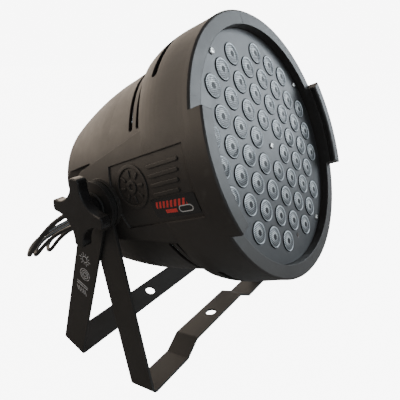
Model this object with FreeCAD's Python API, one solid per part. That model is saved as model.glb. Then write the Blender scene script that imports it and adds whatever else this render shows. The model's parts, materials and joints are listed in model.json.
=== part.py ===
"""LED par can light: a round moulded head on a double strap yoke, with its leads.

Millimetres, +Z up.  The head is modelled level, in its own frame: Y runs back along the
optical axis from the front of the lens plate, X is the tilt axis' direction.  place()
then tilts it about the pivot bolt and stands the whole light on the floor, Z = 0.
"""
import math
import os
import FreeCAD
import Part

V = FreeCAD.Vector

# ---- pose of the light as it stands -------------------------------------------------
beam_up_deg = 23.04         # beam above the horizon
rear_yoke_deg = 18.4        # rear yoke leans back from the vertical
front_yoke_deg = 12.4       # front yoke leans forward

# ---- lens field ---------------------------------------------------------------------
lens_pitch = 25.0
lens_r = 10.0
lens_rings = 4              # hexagonal rings; the outer ring has no corner lenses
plate_thick = 2.0
lens_flange = 4.1
lens_proud = 0.5
lens_length = 12.0
led_gap = 14.0              # lens plate front to LED board
holder_wall = 1.5

# ---- head mouldings -----------------------------------------------------------------
plate_margin = 10.86        # from the outermost lenses to the rim
rim_width = 13.0
barrel_bulge = 0.3
skin_curl = 8.0             # the barrel's skin curls in this far by its rearmost points
wall = 2.6
rim_front = 8.0             # rim stands this far in front of the lens plate
castle_rise = 10.8          # raised arcs left and right of the rim
castle_half_deg = 22.3
barrel_end = 50.5           # rear edge of the barrel, on the side
arm_half_front = 46.5       # side arm, half height at the barrel
arm_half_back = 33.5        # and behind the pivot
arm_end = 137.0
arm_step = 3.0              # arms stand this far inside the barrel's radius
collar_step = 11.0          # rear housing inside the barrel's radius
dome_start = 103.0
crease_drop = 3.8           # housing's radius lost over the collar, up to the crease
dome_drop = 15.8            # and over the dome behind it
dome_power = 1.7
edge_r = 5.0
head_end = 203.0
pocket_half = 38.0          # flat pocket in the housing behind each arm
pocket_depth = 25.0         # below the collar's radius
seam_gap = 0.2
seam_screw_r, seam_screw_y = 1.5, 10.5
seam_screw_in = 9.3         # inside the barrel's radius
screw_r, screw_hole_r = 1.4, 1.7
screw_edge = 6.6            # plate screws inside the plate's edge
column_r = 3.9              # posts that the plate and frame screws go into
ledge_thick = 2.5
sensor_r, sensor_ring_r = 1.9, 90.5
fit = 0.3                   # clearance between separate mouldings
inset_depth = 1.3           # panel sunk into each side
relief = 1.0                # emblem above the sunk panel
vent_width = 5.2            # a pair of vents on each shoulder of the collar
vent_pitch = 10.2
vent_y, vent_z = 58.8, 50.0
vent_sweep = 0.0035         # vents sweep back by this times the height above vent_z squared
vent_ends = (53.0, 103.0)
slot_width = 6.6            # air slot on each shoulder of the barrel
slot_y = 32.0
slot_middle_deg, slot_half_deg = 55.0, 11.5

# ---- pivot, yokes and knobs ---------------------------------------------------------
pivot_y = 110.8             # behind the lens plate, on the optical axis
strap_width = 30.0
strap_thick = 2.5
strap_gap = 0.4
eye_r = 22.5
bar_clear = 9.06            # between the swinging head and the raised flat of the front yoke
bend_r = 4.0
hat_rise = 11.6
hat_flat = 49.6             # half length of the raised flat of the front yoke
hat_foot = 70.0             # where its ramps start
mount_hole_r = 6.5
stud_r = 4.0
running = 0.08              # radial clearance of the stud in its bores
insert_r = 7.0
knob_r = 31.0
knob_waist = 16.5
knob_thick = 9.5
knob_hub_r = 12.0
knob_hub = 7.5
washer_r = 13.1
washer_thick = 1.6
lobe_deg = 25.5

# ---- rear panel ---------------------------------------------------------------------
panel_r = 70.0
button_r = 3.2
button_pitch = 14.0
button_z = 6.0
display_w, display_h, display_z = 44.0, 20.0, 30.0

# ---- cooling and electronics --------------------------------------------------------
board_thick = 1.6
sink_thick = 6.0
sink_gap = 4.0              # between the heatsink and the barrel's collar
fin_depth = 24.0
fin_thick = 2.0
fin_pitch = 8.0
fan_size = 92.0
fan_depth = 25.0
blade_count = 7
fan_screw_r = 2.0
chassis_y = 148.6
chassis_r = 96.0

# ---- leads --------------------------------------------------------------------------
mains_d = 7.0
signal_d = 6.0
coil_turns_wide = 2
coil_layers = 2
coil_mean_r = 38.5
coil_at = (242.0, 257.0)

# Each route is a list of points on the floor's frame, the foot of the pivot at (0, 0, 0).
# The first point of each is the end of its gland, worked out below.
mains_route = [(-47, 152, 121), (-51, 196, 91), (-52, 240, 49), (-47, 284, 3.5), (-20, 317, 3.5),
               (22, 340, 3.5), (80, 350, 3.5), (150, 359, 3.5), (222, 364, 3.5), (270, 350, 3.5),
               (286, 305, 3.5), (284, 267, 3.5)]
mains_tail_route = [(242, 215, 10.6), (220, 214.5, 11.8), (194, 213, 17.6), (176, 212.5, 19.0)]
signal_routes = {
    "signal_in": [(-31, 142, 102.5), (-37, 190, 79), (-41, 233, 47), (-40, 277, 3.1), (-16, 308, 3.1),
                  (24, 330, 3.1), (74, 338, 3.1), (108, 338.5, 4.6), (136, 338, 9.3), (156, 338, 9.6)],
    "signal_out": [(-9, 143, 101.5), (-13, 188, 78), (-17, 231, 48), (-17, 272, 3.1), (2, 304, 3.1),
                   (38, 323, 3.1), (84, 328, 3.1), (116, 322, 4.6), (143, 316, 9.3), (162, 315, 9.6)],
}
gland_at = {"mains": (-45.0, -8.0), "signal_in": (-28.0, -30.0), "signal_out": (-8.0, -30.0)}
gland_neck = {"mains": 6.5, "signal_in": 5.5, "signal_out": 5.5}
cord_d = {"mains": mains_d, "signal_in": signal_d, "signal_out": signal_d}
gland_tail = 30.0

nodes = {}
cords = set()               # nodes that lie free: they don't centre the model


# ---- helpers ------------------------------------------------------------------------
def revolve(profile, start_deg=0.0, sweep_deg=360.0):
    """Solid from (radius, y) points turned about the Y axis; angle 0 is +X, 90 is +Z."""
    pts = [V(r, y, 0) for r, y in profile]
    face = Part.Face(Part.makePolygon(pts + [pts[0]]))
    solid = face.revolve(V(0, 0, 0), V(0, -1, 0), sweep_deg)
    solid.rotate(V(0, 0, 0), V(0, -1, 0), start_deg)
    return solid


def smooth(points, steps=6):
    """Points along the smooth curve through the given (radius, y) points."""
    curve = Part.BSplineCurve()
    curve.interpolate([V(r, y, 0) for r, y in points])
    first, last = curve.FirstParameter, curve.LastParameter
    count = steps * (len(points) - 1)
    out = [curve.value(first + (last - first) * i / count) for i in range(count + 1)]
    return [(p.x, p.y) for p in out]


def spun(edges):
    """Solid of a closed profile given as edges in the XY half plane, turned about Y."""
    face = Part.Face(Part.Wire(edges))
    return face.revolve(V(0, 0, 0), V(0, 1, 0), 360)


def line(a, b):
    return Part.LineSegment(V(a[0], a[1], 0), V(b[0], b[1], 0)).toShape()


def curve_through(points):
    curve = Part.BSplineCurve()
    curve.interpolate([V(r, y, 0) for r, y in points])
    return curve.toShape()


def arc_through(a, b, c):
    return Part.Arc(V(a[0], a[1], 0), V(b[0], b[1], 0), V(c[0], c[1], 0)).toShape()


def box(x0, x1, y0, y1, z0, z1):
    return Part.makeBox(x1 - x0, y1 - y0, z1 - z0, V(x0, y0, z0))


def cyl_y(r, y0, y1, x=0.0, z=0.0):
    return Part.makeCylinder(r, y1 - y0, V(x, y0, z), V(0, 1, 0))


def cyl_x(r, x0, x1, y=0.0, z=0.0):
    return Part.makeCylinder(r, x1 - x0, V(x0, y, z), V(1, 0, 0))


def cyl_z(r, z0, z1, x=0.0, y=0.0):
    return Part.makeCylinder(r, z1 - z0, V(x, y, z0))


def side_prism(points, half_x=200.0):
    """Prism through the head along X from a side outline of (y, z) points."""
    pts = [V(-half_x, y, z) for y, z in points]
    return Part.Face(Part.makePolygon(pts + [pts[0]])).extrude(V(2 * half_x, 0, 0))


def fuse(shapes):
    first, rest = shapes[0], shapes[1:]
    return first.fuse(rest).removeSplitter() if rest else first


def mirror_x(shape):
    return shape.mirror(V(0, 0, 0), V(1, 0, 0))


def place(shape):
    """Head frame to the floor's frame: pivot to the origin, beam tilted up, then lifted."""
    s = shape.copy()
    s.translate(V(0, -pivot_y, 0))
    s.rotate(V(0, 0, 0), V(1, 0, 0), -beam_up_deg)
    s.translate(V(0, 0, pivot_height))
    return s


def place_point(x, y, z):
    a = math.radians(beam_up_deg)
    dy = y - pivot_y
    return V(x, dy * math.cos(a) + z * math.sin(a), pivot_height - dy * math.sin(a) + z * math.cos(a))


def add(name, shape, cord=False):
    if len(shape.Solids) == 1:
        shape = shape.Solids[0]
    nodes[name] = shape
    if cord:
        cords.add(name)


def tube(points, diameter, name):
    """Round tube along straight runs joined by tangent arcs; prints its tightest bend."""
    edges, at, radii = [], points[0], []
    for before, corner, after in zip(points, points[1:], points[2:]):
        into, out = corner - before, after - corner
        turn = into.getAngle(out)
        cut = 0.45 * min(into.Length, out.Length)
        radius = cut / math.tan(turn / 2)
        radii.append(radius)
        into.normalize()
        out.normalize()
        start, end = corner - into * cut, corner + out * cut
        to_centre = (out - into).normalize()
        middle = corner + to_centre * (radius / math.cos(turn / 2) - radius)
        edges += [Part.LineSegment(at, start).toShape(), Part.Arc(start, middle, end).toShape()]
        at = end
    edges.append(Part.LineSegment(at, points[-1]).toShape())
    path = Part.Wire(edges)
    heading = (points[1] - points[0]).normalize()
    ring = Part.Wire(Part.makeCircle(diameter / 2, points[0], heading))
    solid = path.makePipeShell([ring], True, False)
    area = math.pi * diameter ** 2 / 4
    print("%s: length %.0f mm, radii %s, volume ratio %.4f"
          % (name, path.Length, [round(r) for r in radii], solid.Volume / (area * path.Length)))
    return solid


# ---- sizes that follow from the driving ones ----------------------------------------
lens_spots = []
for q in range(-lens_rings, lens_rings + 1):
    for s in range(-lens_rings, lens_rings + 1):
        ring = max(abs(q), abs(s), abs(q + s))
        corner = ring == lens_rings and 0 in (q, s, q + s)
        if 0 < ring <= lens_rings and not corner:
            lens_spots.append((lens_pitch * s * math.sqrt(3) / 2, lens_pitch * (q + s / 2)))

field_r = max(math.hypot(x, z) for x, z in lens_spots)
rim_r = field_r + lens_r + plate_margin
barrel_r = rim_r + rim_width
arm_r = barrel_r - arm_step
collar_r = barrel_r - collar_step
pocket_x = collar_r - pocket_depth
plate_r = rim_r - fit
screw_ring_r = plate_r - screw_edge
holder_r = lens_r + holder_wall
ledge_r = field_r + holder_r + fit
board_r = screw_ring_r - column_r - fit
plate_screw_deg = (-30.0, 60.0, 150.0, 240.0)
sink_front = led_gap + board_thick
sink_back = sink_front + sink_thick
fan_front = sink_back + fin_depth + fit
fan_back = fan_front + fan_depth

# the front yoke clears the head's swing, and both yokes stand on the floor
front_inner = barrel_r + barrel_bulge + fit
front_half_span = front_inner + strap_thick
rear_half_span = front_half_span + strap_gap + strap_thick
pad_face = front_inner - fit
pad_thick = 1.2
insert_in = collar_r - crease_drop + fit
head_sweep = math.hypot(pivot_y + rim_front, barrel_r)
front_yoke_length = head_sweep + bar_clear + strap_thick + hat_rise
lean_front, lean_rear = math.radians(front_yoke_deg), math.radians(rear_yoke_deg)
pivot_height = front_yoke_length * math.cos(lean_front) + strap_width / 2 * math.sin(lean_front)
rear_yoke_length = (pivot_height - strap_width / 2 * math.sin(lean_rear)) / math.cos(lean_rear)


def around(radius, deg):
    """(x, z) of a point on the front, clockwise from the top as seen from the front."""
    a = math.radians(deg)
    return radius * math.sin(a), radius * math.cos(a)


seam_screw_z = [s * (barrel_r - seam_screw_in) for s in (-1, 1)]
plate_screw_spots = [around(screw_ring_r, d) for d in plate_screw_deg]
panel_screw_spots = [around(panel_r - 3.4, d) for d in (45, 135, 225, 315)]


# ---- lens plate, lenses, LEDs -------------------------------------------------------
def make_lens_field():
    plate = cyl_y(plate_r, 0, plate_thick)
    holes = [cyl_y(lens_r + 0.2, -1, plate_thick + 1, x, z) for x, z in lens_spots]
    holes += [cyl_y(screw_hole_r, -1, plate_thick + 1, x, z) for x, z in plate_screw_spots + [(0, 0)]]
    holes.append(cyl_y(sensor_r + 0.1, -1, plate_thick + 1, *around(sensor_ring_r, 180)))
    add("lens_plate", plate.cut(holes))

    flange_back = -lens_proud + lens_flange
    waist = lens_r * 0.84
    tip = lens_r * 0.42
    back = flange_back + lens_length - lens_flange
    top = -lens_proud - 0.5
    cup = back - 3.0
    profile = [line((1.0, top), (0, top)), line((0, top), (0, cup)), line((0, cup), (tip - 1.4, cup)),
               line((tip - 1.4, cup), (tip - 1.0, back)), line((tip - 1.0, back), (tip, back)),
               arc_through((tip, back), (waist * 0.82, flange_back + 3.6), (waist, flange_back)),
               line((waist, flange_back), (lens_r, flange_back)),
               line((lens_r, flange_back), (lens_r, -lens_proud + 0.4)),
               line((lens_r, -lens_proud + 0.4), (lens_r - 0.6, -lens_proud)),
               arc_through((lens_r - 0.6, -lens_proud), (lens_r / 2, -lens_proud - 0.4), (1.0, top))]
    lens = spun(profile)
    holder = revolve([(lens_r + 0.3, plate_thick + 0.1), (holder_r, plate_thick + 0.1),
                      (holder_r, led_gap - 0.1), (waist + 0.5, led_gap - 0.1),
                      (waist + 0.5, flange_back + 0.1), (lens_r + 0.3, flange_back + 0.1)])
    chip = fuse([box(-2.5, 2.5, led_gap - 1.5, led_gap, -2.5, 2.5), cyl_y(1.6, led_gap - 2.3, led_gap - 1.5)])

    def spread(shape):
        copies = []
        for x, z in lens_spots:
            c = shape.copy()
            c.translate(V(x, 0, z))
            copies.append(c)
        return Part.makeCompound(copies)

    add("lenses", spread(lens))
    add("lens_holders", spread(holder))
    add("led_chips", spread(chip))

    board = cyl_y(board_r, led_gap, led_gap + board_thick)
    add("led_board", board.cut(cyl_y(3.8, led_gap - 1, led_gap + 3)))

    post = cyl_y(3.5, plate_thick + 0.1, sink_front).cut(cyl_y(screw_r, 0, 12))
    add("centre_post", post)
    screws = []
    for x, z in plate_screw_spots + [(0, 0)]:
        head = revolve([(0, -1.8), (2.2, -1.6), (2.9, -0.9), (2.9, 0), (0, 0)])
        drive = fuse([box(-2.0, 2.0, -2.5, -0.9, -0.4, 0.4), box(-0.4, 0.4, -2.5, -0.9, -2.0, 2.0)])
        screw = head.fuse(cyl_y(screw_r, -0.05, 9.0)).cut(drive)
        screw.translate(V(x, 0, z))
        screws.append(screw)
    add("plate_screws", Part.makeCompound(screws))
    x, z = around(sensor_ring_r, 180)
    add("sensor_window", cyl_y(sensor_r, -0.2, plate_thick, x, z))


# ---- the two outer half shells ------------------------------------------------------
def arm_outline(grow=0.0):
    corner = 9.0
    back = arm_end + grow
    h0, h1 = arm_half_front + grow, arm_half_back + grow
    top = [(barrel_end - 20, h0), (barrel_end - 3, h0), (back - corner, h1)]
    for a in (22.5, 45, 67.5, 90):
        y, z = around(corner, a)
        top.append((back - corner + y, h1 - corner + z))
    return top + [(y, -z) for y, z in reversed(top)]


def barrel_back():
    """Side outline of the barrel's rear edge, swept back towards the top and bottom."""
    a, b, c = (46.8, arm_half_front), (barrel_end, 91.0), (63.0, barrel_r + 2)
    curve = Part.Arc(V(0, a[0], a[1]), V(0, b[0], b[1]), V(0, c[0], c[1]))
    first, last = curve.FirstParameter, curve.LastParameter
    return [(p.y, p.z) for p in (curve.value(first + (last - first) * i / 12) for i in range(13))]


inset_front, inset_back = 3.2, 94.0


def inset_floor(lift):
    """Profile of the sunk panel's floor, or of a skin this far above it."""
    r = barrel_r - inset_depth + lift
    back = arm_r + 0.4 - inset_depth + lift
    return [(r, inset_front), (r + barrel_bulge, 30), (r - 1.0, 45), (r - 2.0, 62), (back, 88),
            (back, inset_back)]


def inset_outline():
    """Side outline of the sunk panel, with a bowed rear edge."""
    top, bottom, bow = (89.6, 28.4), (89.6, -27.0), (92.8, 0.5)
    front = [V(0, inset_front, bottom[1] - 0.4), V(0, inset_front, top[1] - 0.6)]
    rear = Part.Arc(V(0, *top), V(0, *bow), V(0, *bottom)).toShape()
    edges = [Part.LineSegment(*front).toShape(), Part.LineSegment(front[1], V(0, *top)).toShape(), rear,
             Part.LineSegment(V(0, *bottom), front[0]).toShape()]
    face = Part.Face(Part.Wire(edges))
    face.translate(V(-200, 0, 0))
    return face.extrude(V(400, 0, 0))


def round_slot(y, width, low, middle_deg, half_deg):
    """Cutters for a slot round the head, with rounded ends."""
    half, high = width / 2, low + 30
    ring = [(low, y - half), (high, y - half), (high, y + half), (low, y + half)]
    out = [revolve(ring, middle_deg - half_deg, 2 * half_deg)]
    for deg in (middle_deg - half_deg, middle_deg + half_deg):
        end = Part.makeCylinder(half, high - low, V(low, y, 0), V(1, 0, 0))
        end.rotate(V(0, 0, 0), V(0, -1, 0), deg)
        out.append(end)
    return out


def make_shells():
    skin = smooth([(barrel_r, -rim_front + 1.5), (barrel_r + 0.2, 15), (barrel_r + barrel_bulge, 30),
                   (barrel_r - 1.2, 44), (barrel_r - 3.8, 54), (barrel_r - skin_curl, 65)], 3)
    inside = barrel_r - wall
    snug = collar_r + fit
    barrel = revolve([(barrel_r - 1.5, -rim_front)] + skin + [(barrel_r - 9.0, 67), (snug, 67), (snug, 40),
                     (inside - 1.5, 36), (inside, 30), (inside, -rim_front + wall),
                     (rim_r + wall, -rim_front + wall), (rim_r + wall, plate_thick + 0.1 + ledge_thick),
                     (ledge_r, plate_thick + 0.1 + ledge_thick), (ledge_r, plate_thick + 0.1),
                     (rim_r, plate_thick + 0.1), (rim_r, -rim_front)])
    edge = barrel_back()
    front_side = [(-60, 0), (-60, 140)] + list(reversed(edge)) + [(edge[0][0], 0)]
    keep = fuse([side_prism(front_side), side_prism([(y, -z) for y, z in front_side])])
    barrel = barrel.common(keep)

    backs = [arm_end + 5, 124.0, dome_start]
    arm_ring = revolve([(barrel_r - 1.0, barrel_end - 14), (barrel_r - 1.6, barrel_end), (arm_r + 0.5, 75),
                        (arm_r, arm_end + 5)] + [(dome_radius(y) + fit, y) for y in backs]
                       + [(collar_r + fit, 62), (collar_r + fit, barrel_end - 14)])
    arms = arm_ring.common(side_prism(arm_outline()))
    castle_top = -rim_front - castle_rise
    castle = [(rim_r, -rim_front + 0.5), (rim_r, castle_top + 1.2), (rim_r + 1.2, castle_top),
              (barrel_r - 1.2, castle_top), (barrel_r, castle_top + 1.2), (barrel_r, -rim_front + 1.6),
              (barrel_r - 1.0, -rim_front + 0.5)]
    castles = [revolve(castle, middle - castle_half_deg, 2 * castle_half_deg) for middle in (0.0, 180.0)]
    boss_right = cyl_x(eye_r, collar_r - 1, pad_face - pad_thick, pivot_y)
    boss = [boss_right, mirror_x(boss_right)]
    columns = [cyl_y(column_r, plate_thick + 0.2, sink_front - 0.05, x, z) for x, z in plate_screw_spots]
    lugs = []
    for z in seam_screw_z:
        out = math.copysign(7.5, z)
        low, high = sorted((z - out * 0.6, z + out))
        lugs.append(box(-8, 8, seam_screw_y - 2.5, seam_screw_y + 2.5, low, high))
    shell = fuse([barrel, arms] + castles + boss + columns + lugs)

    # grooves for a filter frame inside the raised arcs
    groove = revolve([(rim_r - 5, castle_top + 3.0), (rim_r + 2.2, castle_top + 3.0),
                      (rim_r + 2.2, castle_top + 6.6), (rim_r - 5, castle_top + 6.6)])
    # inset panel on each side, following the skin
    inset = revolve(inset_floor(0) + [(barrel_r + 9, inset_back), (barrel_r + 9, inset_front)])
    cuts = [groove, inset.common(inset_outline()).cut(boss)]
    # one air slot on each shoulder of the barrel
    for middle in (slot_middle_deg, 180 - slot_middle_deg, 180 + slot_middle_deg, 360 - slot_middle_deg):
        cuts += round_slot(slot_y, slot_width, barrel_r - 8, middle, slot_half_deg)
    for x, z in plate_screw_spots:
        cuts.append(cyl_y(screw_r, plate_thick - 2, 9.5, x, z))
        cuts.append(cyl_y(screw_r, sink_front - 6.2, sink_front + 1, x, z))
    cuts += [cyl_x(seam_screw_r, -9, 9, seam_screw_y, z) for z in seam_screw_z]
    cuts.append(cyl_x(insert_r, -200, 200, pivot_y))
    shell = shell.cut(cuts)
    for name, x0, x1 in (("shell_left", -200, -seam_gap / 2), ("shell_right", seam_gap / 2, 200)):
        add(name, shell.common(box(x0, x1, -100, 300, -200, 200)))
    seam_screws = []
    for z in seam_screw_z:
        shank = cyl_x(seam_screw_r, -8, 8.5, seam_screw_y, z)
        seam_screws.append(shank.fuse(cyl_x(2.8, 8.0, 9.8, seam_screw_y, z)))
    add("seam_screws", Part.makeCompound(seam_screws))
    for name, s in (("left", -1), ("right", 1)):
        insert = cyl_x(insert_r, insert_in, pad_face - pad_thick, pivot_y)
        insert = insert.cut(cyl_x(stud_r + running, 0, 200, pivot_y))
        pad = cyl_x(eye_r - 1.5, pad_face - pad_thick, pad_face, pivot_y)
        pad = pad.cut(cyl_x(insert_r, 0, 200, pivot_y))
        add("thread_insert_" + name, insert if s > 0 else mirror_x(insert))
        add("friction_pad_" + name, pad if s > 0 else mirror_x(pad))


# ---- rear housing -------------------------------------------------------------------
def dome_radius(y):
    """Radius of the rear housing at y, from its crease to its rear edge."""
    share = max(0.0, (y - dome_start) / (head_end - edge_r - dome_start))
    return collar_r - crease_drop - dome_drop * share ** dome_power


def swept_vent(y, side):
    """Cutter for a vent across both shoulders, swept back as it rises, with round ends."""
    half, steps = vent_width / 2, 6
    low, high = vent_ends
    front, rear, middle = [], [], []
    for i in range(steps + 1):
        z = low + (high - low) * i / steps
        at = V(-200, y + vent_sweep * (z - vent_z) ** 2, z)
        along = V(0, 2 * vent_sweep * (z - vent_z), 1).normalize()
        across = V(0, along.z, -along.y) * half
        front.append(at - across)
        rear.append(at + across)
        middle.append((at, along * half))
    edges = []
    for side_points in (front, rear):
        curve = Part.BSplineCurve()
        curve.interpolate(side_points)
        edges.append(curve.toShape())
    for i, sign in ((0, -1), (-1, 1)):
        at, reach = middle[i]
        edges.append(Part.Arc(front[i], at + reach * sign, rear[i]).toShape())
    face = Part.Face(Part.Wire(Part.__sortEdges__(edges)))
    vent = face.extrude(V(400, 0, 0))
    return vent if side > 0 else vent.mirror(V(0, 0, 0), V(0, 0, 1))


def make_housing():
    count = 6
    dome_ys = [dome_start + (head_end - edge_r - dome_start) * i / count for i in range(count + 1)]
    dome = [(dome_radius(y), y) for y in dome_ys]
    rear_r = dome[-1][0]

    def body(inset):
        r0 = collar_r - inset
        pts = [(r - inset, y) for r, y in dome]
        end = head_end - inset
        edges = [line((0, 30 - inset), (r0, 30 - inset)), line((r0, 30 - inset), (r0, 56)),
                 line((r0, 56), pts[0]), curve_through(pts),
                 arc_through(pts[-1], (rear_r - 0.38 * edge_r - inset, end - 0.32 * edge_r),
                             (rear_r - 1.3 * edge_r - inset, end)),
                 line((rear_r - 1.3 * edge_r - inset, end), (0, end)), line((0, end), (0, 30 - inset))]
        solid = spun(edges)
        half = pocket_half + inset
        pocket = box(pocket_x - inset, 200, arm_end + fit - inset, 300, -half, half)
        return solid.cut([pocket, mirror_x(pocket)])

    outer, inner = body(0), body(wall)
    housing = outer.cut(inner.fuse(cyl_y(collar_r - wall, 20, 31)))
    ledge = revolve([(panel_r - 4.0, head_end - wall - 2.4), (panel_r + 3.0, head_end - wall - 2.4),
                     (panel_r + 3.0, head_end - wall), (panel_r - 4.0, head_end - wall)])
    opening = cyl_y(panel_r + 0.1, head_end - wall, head_end + 5)
    shelf_r = chassis_r - 4.0
    shelf = revolve([(shelf_r, chassis_y + 1.6), (collar_r, chassis_y + 1.6), (collar_r, chassis_y + 4.4),
                     (shelf_r, chassis_y + 4.4)]).common(body(wall / 2))
    lugs = []
    for d, (x, z) in zip(plate_screw_deg, plate_screw_spots):
        rib = cyl_y(5.0, sink_back + 0.05, 46, x, z)
        outward = box(-3, 3, 31, 46, 0, 8)
        outward.rotate(V(0, 0, 0), V(0, 1, 0), d)
        outward.translate(V(x, 0, z))
        lugs.append(rib.fuse(outward).common(cyl_y(collar_r - 1, 0, 60)))
    housing = fuse([housing.cut(opening), ledge, shelf] + lugs)
    cuts = []
    for side in (1, -1):
        cuts += [swept_vent(vent_y, side), swept_vent(vent_y + vent_pitch, side)]
    cuts += [cyl_y(screw_hole_r + 0.1, 0, 47, x, z) for x, z in plate_screw_spots]
    cuts += [cyl_y(1.3, head_end - 8, head_end, x, z) for x, z in panel_screw_spots]
    add("rear_housing", housing.cut(cuts))
    screws = []
    for x, z in plate_screw_spots:
        screws.append(fuse([cyl_y(screw_r, sink_front - 5.8, 46.2, x, z), cyl_y(3.0, 46.1, 48.2, x, z)]))
    add("frame_screws", Part.makeCompound(screws))


# ---- heatsink and fan ---------------------------------------------------------------
def make_cooling():
    sink_r = collar_r - sink_gap
    base = cyl_y(sink_r, sink_front, sink_back)
    count = int((sink_r - 15) // fin_pitch)
    fin_end = sink_back + fin_depth
    fins = []
    for i in range(-count, count + 1):
        x = i * fin_pitch
        half = math.sqrt((sink_r - 13) ** 2 - x * x)
        fins.append(box(x - fin_thick / 2, x + fin_thick / 2, sink_back - 0.5, fin_end, -half, half))
    half = fan_size / 2
    bore = half - 3.0
    hole = half - 5.0
    corner_spots = [(sx * hole, sz * hole) for sx in (-1, 1) for sz in (-1, 1)]
    posts = [cyl_y(fan_screw_r + 2.0, sink_back - 0.5, fin_end, x, z) for x, z in corner_spots]
    sink = base.fuse(fins + posts)
    cuts = [cyl_y(screw_hole_r, 0, 60, x, z) for x, z in plate_screw_spots]
    cuts += [cyl_y(6.0, sink_back, 60, x, z) for x, z in plate_screw_spots]
    cuts += [cyl_y(fan_screw_r, sink_back + 0.5, 90, x, z) for x, z in corner_spots]
    add("heatsink", sink.cut(cuts))
    frame = box(-half, half, fan_front, fan_back, -half, half).cut(cyl_y(bore, 0, 200))
    hub = cyl_y(19.0, fan_back - 3.0, fan_back)
    bars = [box(-1.6, 1.6, fan_back - 3.0, fan_back, -bore - 1, bore + 1)]
    bars.append(box(-bore - 1, bore + 1, fan_back - 3.0, fan_back, -1.6, 1.6))
    frame = fuse([frame, hub] + bars).cut([cyl_y(fan_screw_r + 0.2, 0, 200, x, z) for x, z in corner_spots])
    spindle = cyl_y(1.5, fan_front + 4, fan_back - 2.5)
    add("fan_frame", frame.fuse(spindle))

    rotor = cyl_y(19.0, fan_front + 2.0, fan_back - 4.0)
    blade = box(16, bore - 1.0, -9.5, 9.5, -0.7, 0.7)
    blade.rotate(V(0, 0, 0), V(1, 0, 0), 52)
    blade.translate(V(0, (fan_front + fan_back) / 2 - 1.0, 0))
    blades = []
    for i in range(blade_count):
        b = blade.copy()
        b.rotate(V(0, 0, 0), V(0, 1, 0), 360.0 * i / blade_count)
        blades.append(b)
    swept = cyl_y(bore - 1.0, fan_front + 1.0, fan_back - 4.0)
    rotor = fuse([rotor] + [b.common(swept) for b in blades]).cut(cyl_y(1.5 + running, 0, 200))
    add("fan_rotor", rotor)
    screws = []
    for x, z in corner_spots:
        shank = cyl_y(fan_screw_r, sink_back + 1.0, fan_back, x, z)
        screws.append(shank.fuse(cyl_y(3.6, fan_back, fan_back + 2.2, x, z)))
    add("fan_screws", Part.makeCompound(screws))


# ---- electronics inside -------------------------------------------------------------
def make_electronics():
    disc = cyl_y(chassis_r, chassis_y, chassis_y + 1.5)
    flat = box(pocket_x - wall - 2 * fit, 200, 100, 200, -pocket_half - 4, pocket_half + 4)
    disc = disc.cut([flat, mirror_x(flat)])
    board_y = chassis_y + 7.5
    posts = [cyl_y(3.0, chassis_y + 1.0, board_y, x, z) for x in (-44, 44) for z in (-42, 22)]
    holes = [cyl_y(8.0, 100, 200, *around(72, d)) for d in (20, 60, 120, 160, 200, 240, 300, 340)]
    add("chassis_plate", disc.cut(holes).fuse(posts))
    add("power_board", box(-50, 50, board_y, board_y + board_thick, -48, 28))
    top = board_y + board_thick
    parts = [box(-18, 14, top, top + 24, -32, -4), box(22, 34, top, top + 12, -40, -20),
             box(-44, -30, top, top + 15, 4, 20)]
    parts += [cyl_y(5.0, top, top + 20, x, z) for x, z in ((28, -8), (40, -8), (28, 6))]
    parts += [cyl_y(9.0, top, top + 26, -36, -18), box(-6, 10, top, top + 10, 8, 22)]
    add("power_parts", Part.makeCompound(parts))

    inner_face = head_end - wall
    board = box(-44, 44, inner_face - 11.0, inner_face - 11.0 + board_thick, -14, 44)
    add("control_board", board)
    board_top = inner_face - 11.0 + board_thick
    switches = [box(x - 3, x + 3, board_top, board_top + 4.2, button_z - 3, button_z + 3)
                for x in button_spots()]
    add("button_switches", Part.makeCompound(switches))
    add("display_module", box(-display_w / 2 + 3, display_w / 2 - 3, board_top, inner_face - 0.6,
                              display_z - display_h / 2 + 2.5, display_z + display_h / 2 - 2.5))


def button_spots():
    return [(i - 1.5) * button_pitch for i in range(4)]


def make_rear_panel():
    face, back = head_end, head_end - wall
    panel = cyl_y(panel_r - 0.2, back + 0.05, face)
    posts = [cyl_y(2.6, back - 9.35, back + 0.5, x, z) for x in (-30, 30) for z in (-10, 40)]
    panel = panel.fuse(posts)
    cuts = [cyl_y(button_r, back - 1, face + 1, x, button_z) for x in button_spots()]
    cuts.append(box(-display_w / 2, display_w / 2, back - 1, face + 1,
                    display_z - display_h / 2, display_z + display_h / 2))
    for name, (x, z) in gland_at.items():
        cuts.append(cyl_y(gland_neck[name], back - 1, face + 1, x, z))
    cuts += [cyl_y(1.6, back - 1, face + 1, x, z) for x, z in panel_screw_spots]
    add("rear_panel", panel.cut(cuts))
    add("display_window", box(-display_w / 2 + 0.1, display_w / 2 - 0.1, back + 0.1, face + 0.3,
                              display_z - display_h / 2 + 0.1, display_z + display_h / 2 - 0.1))
    screws = []
    for x, z in panel_screw_spots:
        screws.append(fuse([cyl_y(1.25, face - 7.5, face + 0.2, x, z), cyl_y(2.8, face, face + 1.6, x, z)])
                      .cut(box(x - 2, x + 2, face + 0.8, face + 3, z - 0.4, z + 0.4)))
    add("panel_screws", Part.makeCompound(screws))
    for i, x in enumerate(button_spots()):
        cap = fuse([cyl_y(button_r - 0.25, back - 0.6, face + 1.6, x, button_z),
                    cyl_y(button_r + 0.9, back - 1.6, back - 0.4, x, button_z)])
        add("button_%d" % (i + 1), cap)


# ---- label and emblem on the near side ----------------------------------------------
def skin_patch(outline, low, high):
    """Thin piece that follows the sunk panel on the left side, from a side outline."""
    ring = revolve(inset_floor(low) + list(reversed(inset_floor(high))))
    return ring.common(outline).common(box(-200, 0, -50, 300, -200, 200))


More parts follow.
